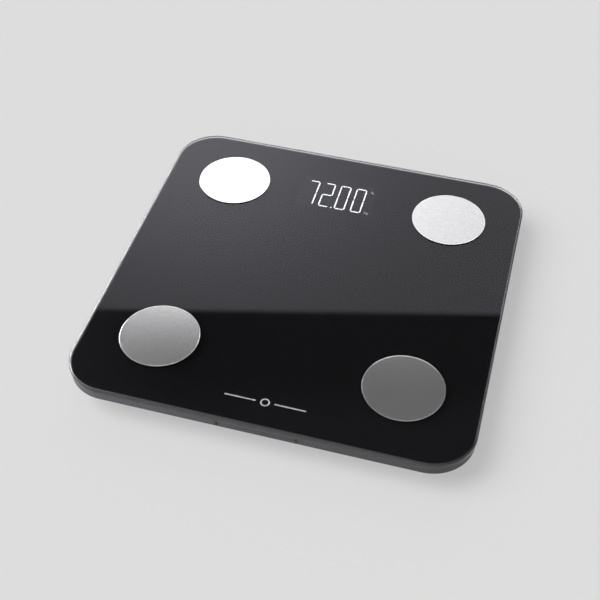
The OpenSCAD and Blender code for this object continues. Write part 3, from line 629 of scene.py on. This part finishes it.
class SCALE_OT_display(PieceOperator, bpy.types.Operator):
    """Lit and unlit bars, unit signs, reflector, display board and its screws and cable"""

    bl_idname = "scale.display"
    bl_label = "Display"

    def build(self, sizes, colours):
        paint(glow("lit_bar", colours.lit, 18.0), "segments_lit")
        paint(glow("unlit_bar", (0.03, 0.03, 0.032), 0.0), "segments_unlit")
        paint(glow("unit_sign", tuple(0.6 * part for part in colours.lit), 8.0), "unit_icons")
        black = moulded("reflector_black", (0.01, 0.01, 0.0105), rough=(0.6, 0.75))
        paint(black.set(Specular_IOR_Level=0.1).material, "display_reflector")
        paint(board_green(), "display_board", "main_board")
        paint(metal("zinc_plate", (0.58, 0.59, 0.6)).material, "display_screws", "board_screws")
        paint(ribbon_grey(), "display_ribbon")


class SCALE_OT_tray(PieceOperator, bpy.types.Operator):
    """Moulded tray under the glass, and its blank foil label"""

    bl_idname = "scale.tray"
    bl_label = "Tray"

    def build(self, sizes, colours):
        paint(tray_plastic(sizes, colours), "base_tray", "battery_door")
        soften(sizes.case_round, "base_tray", "battery_door")
        paint(label_foil(), "rating_label")


class SCALE_OT_feet(PieceOperator, bpy.types.Operator):
    """Four foot cups with grooved rubber soles, and the load cells they press on"""

    bl_idname = "scale.feet"
    bl_label = "Feet and load cells"

    def build(self, sizes, colours):
        cup = moulded("foot_plastic", colours.foot, rough=(0.42, 0.55)).material
        rubber = sole_rubber(colours)
        cell = metal("cell_steel", (0.6, 0.61, 0.63), (0.2, 0.3), factors=(6, 1, 1)).material
        silicone = Finish("gauge_silicone").set(Subsurface_Weight=0.15)
        silicone.colour(silicone.noise(2 * MM, 2), (0.78, 0.78, 0.75), 0.08)
        silicone.gloss(silicone.noise(1 * MM, 2), 0.3, 0.45)
        paint(silicone.material, "strain_gauges")
        for corner in CORNERS:
            paint(cup, "foot_cup_" + corner)
            soften(sizes.case_round, "foot_cup_" + corner)
            paint(cell, "load_cell_" + corner)
            self.sole(sizes, rubber, corner)

    def sole(self, sizes, rubber, corner):
        """A rubber disc with ring grooves in its lower face and a rounded lower edge."""
        node = "foot_pad_" + corner
        low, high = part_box(node)
        radius = (high.x - low.x) / 2
        groove_w, edge = 0.8 * MM, 0.7 * MM
        profile = [(1.5 * MM, low.z + sizes.pad_groove), (2.5 * MM, low.z + sizes.pad_groove)]
        for start in (3, 6.4, 9.8, 13.2):
            left, right = start * MM, (start + 3.4) * MM - groove_w
            profile += [(left, low.z + 0.15 * MM), (left + 0.15 * MM, low.z),
                        (right - 0.15 * MM, low.z), (right, low.z + 0.15 * MM),
                        (right, low.z + sizes.pad_groove),
                        (right + groove_w, low.z + sizes.pad_groove)]
        profile += arc(radius - edge, low.z + edge, edge, -90, 0, 5)
        profile.append((radius, high.z))
        lathe("sole_" + corner, profile, middle(node), rubber, "foot_" + corner, "pad_rubber",
              node)


class SCALE_OT_boards(PieceOperator, bpy.types.Operator):
    """Chips, radio module and sockets of the main board"""

    bl_idname = "scale.boards"
    bl_label = "Board parts"

    def build(self, sizes, colours):
        paint(moulded("chip_black", (0.018, 0.018, 0.019), 0.2 * MM).material, "board_chips")
        paint(metal("shield_tin", (0.68, 0.68, 0.66), (0.25, 0.4)).material, "bluetooth_module")
        paint(moulded("socket_nylon", (0.74, 0.72, 0.65), rough=(0.35, 0.45)).material,
              "board_sockets")


class SCALE_OT_wiring(PieceOperator, bpy.types.Operator):
    """Wires of the load cells, the electrodes and the battery bay"""

    bl_idname = "scale.wiring"
    bl_label = "Wiring"

    def build(self, sizes, colours):
        red, black = pvc("wire_red", (0.5, 0.02, 0.015)), pvc("wire_black", (0.02, 0.02, 0.021))
        paint(red, "cell_wires_red", "battery_lead_positive")
        paint(black, "cell_wires_black", "battery_lead_negative")
        paint(pvc("wire_white", (0.75, 0.75, 0.73)), "cell_wires_white")
        paint(pvc("wire_blue", (0.02, 0.08, 0.42)), "electrode_wires")


class SCALE_OT_batteries(PieceOperator, bpy.types.Operator):
    """Three cells with their contacts and springs"""

    bl_idname = "scale.batteries"
    bl_label = "Batteries"

    def build(self, sizes, colours):
        for row in ("front", "middle", "rear"):
            low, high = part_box("battery_" + row)
            ends = (low.x, high.x) if row != "middle" else (high.x, low.x)
            paint(battery_sleeve(*ends), "battery_" + row)
        paint(metal("nickel_strip", (0.72, 0.7, 0.64), (0.15, 0.25)).material,
              "battery_contacts", "battery_springs")


class SCALE_OT_unit_button(PieceOperator, bpy.types.Operator):
    """Unit button under the tray, its plunger and its switch"""

    bl_idname = "scale.unit_button"
    bl_label = "Unit button"

    def build(self, sizes, colours):
        paint(moulded("button_grey", (0.3, 0.3, 0.32)).material, "unit_button")
        soften(sizes.case_round, "unit_button")
        paint(moulded("plunger_nylon", (0.7, 0.7, 0.68)).material, "switch_plunger")
        paint(metal("switch_can", (0.6, 0.6, 0.58)).material, "unit_switch")


class Sky:
    """The light of the room round the scale, worked out from the direction it comes from."""

    def __init__(self, name):
        self.world = bpy.data.worlds.new(name)
        self.world.use_nodes = True
        self.tree = self.world.node_tree
        self.direction = self.tree.nodes.new("ShaderNodeTexCoord").outputs["Generated"]
        self.ahead = self.along((-0.25324, 0.96740, 0))
        self.side = self.along((0.96740, 0.25324, 0))
        self.up = self.along((0, 0, 1))
        depth = self.combine("MAXIMUM", self.ahead, 0.02)
        self.rise_up = self.combine("DIVIDE", self.up, depth)
        self.across = self.combine("DIVIDE", self.side, depth)
        self.path = self.tree.nodes.new("ShaderNodeLightPath")
        self.mirrored = self.combine("MAXIMUM", self.path.outputs["Is Glossy Ray"],
                                     self.path.outputs["Is Transmission Ray"])

    def combine(self, operation, *values):
        return math_node(self.tree, operation, *values)

    def product(self, first, *others):
        for other in others:
            first = self.combine("MULTIPLY", first, other)
        return first

    def along(self, vector):
        node = self.tree.nodes.new("ShaderNodeVectorMath")
        node.operation = "DOT_PRODUCT"
        self.tree.links.new(self.direction, node.inputs[0])
        node.inputs[1].default_value = vector
        return node.outputs["Value"]

    def rise(self, value, start, end):
        """0 at start, 1 at end, smooth between them."""
        node = self.tree.nodes.new("ShaderNodeMapRange")
        node.interpolation_type = "SMOOTHSTEP"
        self.tree.links.new(value, node.inputs["Value"])
        low, high = sorted((start, end))
        node.inputs["From Min"].default_value = low
        node.inputs["From Max"].default_value = high
        node.inputs["To Min"].default_value = 0 if start < end else 1
        node.inputs["To Max"].default_value = 1 if start < end else 0
        return node.outputs["Result"]

    def blend(self, share, first, second):
        rest = self.combine("SUBTRACT", 1.0, share)
        return self.combine("ADD", self.product(rest, first), self.product(share, second))

    def soft_patch(self, across, height, width):
        """A round bright patch that fades evenly to all sides."""
        squares = [self.combine("POWER", self.combine("DIVIDE", self.combine(
                       "SUBTRACT", value, middle_at), width), 2.0)
                   for value, middle_at in ((self.across, across), (self.rise_up, height))]
        return self.combine("EXPONENT", self.product(self.combine("ADD", *squares), -1.0))

    def card_and_room(self, card_power):
        """A lit card behind the scale, and the darker room above it and beside it."""
        card = self.combine("ADD", card_power, self.soft_patch(-0.12, 0.8, 0.2))
        on_card = self.product(self.rise(self.rise_up, 1.086, 1.07),
                               self.rise(self.across, 1.0, 0.6))
        at_left = self.product(self.rise(self.across, -0.15, -0.35), 0.082)
        high = self.product(self.rise(self.rise_up, 1.2, 1.35), 0.06)
        room = self.combine("ADD", 0.08, self.combine("ADD", at_left, high))
        return self.blend(on_card, room, card)

    def walls(self, fill_power):
        """The walls at the sides and on the near side, brighter towards the left."""
        left = self.product(self.rise(self.side, 0.75, -0.6), fill_power)
        return self.blend(self.rise(self.up, 0.85, 0.6), 0.15, self.combine("ADD", left, 0.15))

    def low_strip(self):
        """A low strip light behind the scale, which is strongest at the far left."""
        at_left = self.product(self.rise(self.across, -0.42, -0.58), self.rise(self.up, 0.72, 0.6))
        behind = self.product(self.rise(self.rise_up, 0.62, 0.45), 0.4)
        return self.product(self.combine("MAXIMUM", at_left, behind),
                            self.rise(self.ahead, 0.1, 0.25), self.rise(self.across, 0.75, 0.45),
                            self.rise(self.up, 0.12, 0.2))

    def finish(self, light, backdrop):
        """Lights the scene, and shows a plain backdrop where nothing else is seen."""
        nodes, links = self.tree.nodes, self.tree.links
        tint = nodes.new("ShaderNodeMixRGB")
        links.new(self.product(self.mirrored, self.rise(self.ahead, 0.12, 0.32)),
                  tint.inputs["Fac"])
        tint.inputs["Color1"].default_value = (1, 1, 1, 1)
        tint.inputs["Color2"].default_value = (0.99, 0.97, 1.07, 1)
        lit = nodes.new("ShaderNodeBackground")
        links.new(tint.outputs["Color"], lit.inputs["Color"])
        links.new(light, lit.inputs["Strength"])
        plain = nodes.new("ShaderNodeBackground")
        plain.inputs["Color"].default_value = (backdrop, backdrop, backdrop, 1)
        mix = nodes.new("ShaderNodeMixShader")
        links.new(self.path.outputs["Is Camera Ray"], mix.inputs["Fac"])
        links.new(lit.outputs["Background"], mix.inputs[1])
        links.new(plain.outputs["Background"], mix.inputs[2])
        links.new(mix.outputs["Shader"], nodes["World Output"].inputs["Surface"])


class SCALE_OT_studio(bpy.types.Operator):
    """Plain floor, soft studio light and the camera"""

    bl_idname = "scale.studio"
    bl_label = "Studio"
    bl_options = {"REGISTER", "UNDO"}

    def execute(self, context):
        scene = context.scene
        studio = scene.scale_studio
        self.floor(scene)
        self.world(scene, studio)
        self.key(scene, studio)
        self.side_lamp(scene, studio)
        self.camera(scene, studio)
        scene.view_settings.view_transform = "Standard"
        scene.view_settings.look = "None"
        return {"FINISHED"}

    def floor(self, scene):
        mesh = bmesh.new()
        mesh.faces.new(add_ring(mesh, circle(Vector((0, 0)), 6.0, -0.0002, 96)))
        data = bpy.data.meshes.new("floor")
        mesh.to_mesh(data)
        mesh.free()
        floor = bpy.data.objects.new("floor", data)
        scene.collection.objects.link(floor)
        finish = Finish("light_table").set(Specular_IOR_Level=0.0)
        finish.set(Emission_Color=(1, 1, 1, 1), Emission_Strength=scene.scale_studio.table_power)
        finish.colour(finish.noise(0.5, 2), scene.scale_colours.floor, 0.002)
        data.materials.append(finish.gloss(finish.noise(0.2, 2), 0.9, 1.0).material)

    def key(self, scene, studio):
        """A very wide soft light from the back left. It lights the surfaces and isn't mirrored."""
        lamp = bpy.data.lights.new("key_light", "SUN")
        lamp.energy = studio.key_power
        lamp.angle = math.radians(50)
        key = bpy.data.objects.new("key_light", lamp)
        key.visible_glossy = False
        key.rotation_euler = Vector((-0.75, -0.2, 0.8)).to_track_quat("Z", "Y").to_euler()
        scene.collection.objects.link(key)

    def side_lamp(self, scene, studio):
        """A small soft lamp at the front left, for the front wall of the tray alone."""
        lamp = bpy.data.lights.new("side_lamp", "AREA")
        lamp.energy = studio.side_power
        lamp.size = 0.12
        side = bpy.data.objects.new("side_lamp", lamp)
        side.visible_glossy = False
        side.location = Vector((-0.2, -0.27, 0.06))
        aim = Vector((-0.08, -0.12, 0.01))
        side.rotation_euler = (side.location - aim).to_track_quat("Z", "Y").to_euler()
        scene.collection.objects.link(side)
        lit = bpy.data.collections.new("tray_light")
        for name in ("base_tray", "battery_door"):
            lit.objects.link(bpy.data.objects[name])
        side.light_linking.receiver_collection = lit

    def camera(self, scene, studio):
        data = bpy.data.cameras.new("camera")
        data.sensor_width = 36
        data.lens = studio.focal
        data.clip_start = 0.01
        camera = bpy.data.objects.new("camera", data)
        right = Vector((0.96478, 0.26288, 0.00946))
        back = Vector((0.17417, -0.66535, 0.72593))
        axes = Matrix((right, back.cross(right), back)).transposed()
        camera.matrix_world = Matrix.Translation((0.12602, -0.50996, 0.55565)) @ axes.to_4x4()
        scene.collection.objects.link(camera)
        scene.camera = camera

    def world(self, scene, studio):
        sky = Sky("studio")
        scene.world = sky.world
        light = sky.blend(sky.rise(sky.ahead, 0.32, 0.12), sky.card_and_room(studio.card_power),
                          sky.walls(studio.fill_power))
        overhead = sky.product(sky.rise(sky.up, 0.9, 0.96), studio.top_power)
        strip = sky.product(sky.low_strip(), sky.mirrored, studio.strip_power)
        light = sky.combine("ADD", sky.combine("ADD", light, overhead), strip)
        sky.finish(light, studio.backdrop)


BUILDERS = (SCALE_OT_glass, SCALE_OT_electrodes, SCALE_OT_display, SCALE_OT_tray, SCALE_OT_feet,
            SCALE_OT_boards, SCALE_OT_wiring, SCALE_OT_batteries, SCALE_OT_unit_button,
            SCALE_OT_studio)


class SCALE_PT_panel(bpy.types.Panel):
    """Sizes, colours and builders of the scale"""

    bl_idname = "SCALE_PT_panel"
    bl_label = "Glass body scale"
    bl_space_type = "VIEW_3D"
    bl_region_type = "UI"
    bl_category = "Scale"

    def draw(self, context):
        for group in (context.scene.scale_sizes, context.scene.scale_colours,
                      context.scene.scale_studio):
            box = self.layout.box()
            for key in group.__annotations__:
                box.prop(group, key)
        for operator in BUILDERS:
            self.layout.operator(operator.bl_idname)


GROUPS = (("scale_sizes", ScaleSizes), ("scale_colours", ScaleColours),
          ("scale_studio", ScaleStudio))


def register():
    for name, group in GROUPS:
        bpy.utils.register_class(group)
        setattr(bpy.types.Scene, name, bpy.props.PointerProperty(type=group))
    for operator in BUILDERS:
        bpy.utils.register_class(operator)
    bpy.utils.register_class(SCALE_PT_panel)


def unregister():
    bpy.utils.unregister_class(SCALE_PT_panel)
    for operator in reversed(BUILDERS):
        bpy.utils.unregister_class(operator)
    for name, group in reversed(GROUPS):
        delattr(bpy.types.Scene, name)
        bpy.utils.unregister_class(group)


def main():
    register()
    for operator in BUILDERS:
        kind, name = operator.bl_idname.split(".")
        getattr(getattr(bpy.ops, kind), name)()


if __name__ == "__main__":
    main()
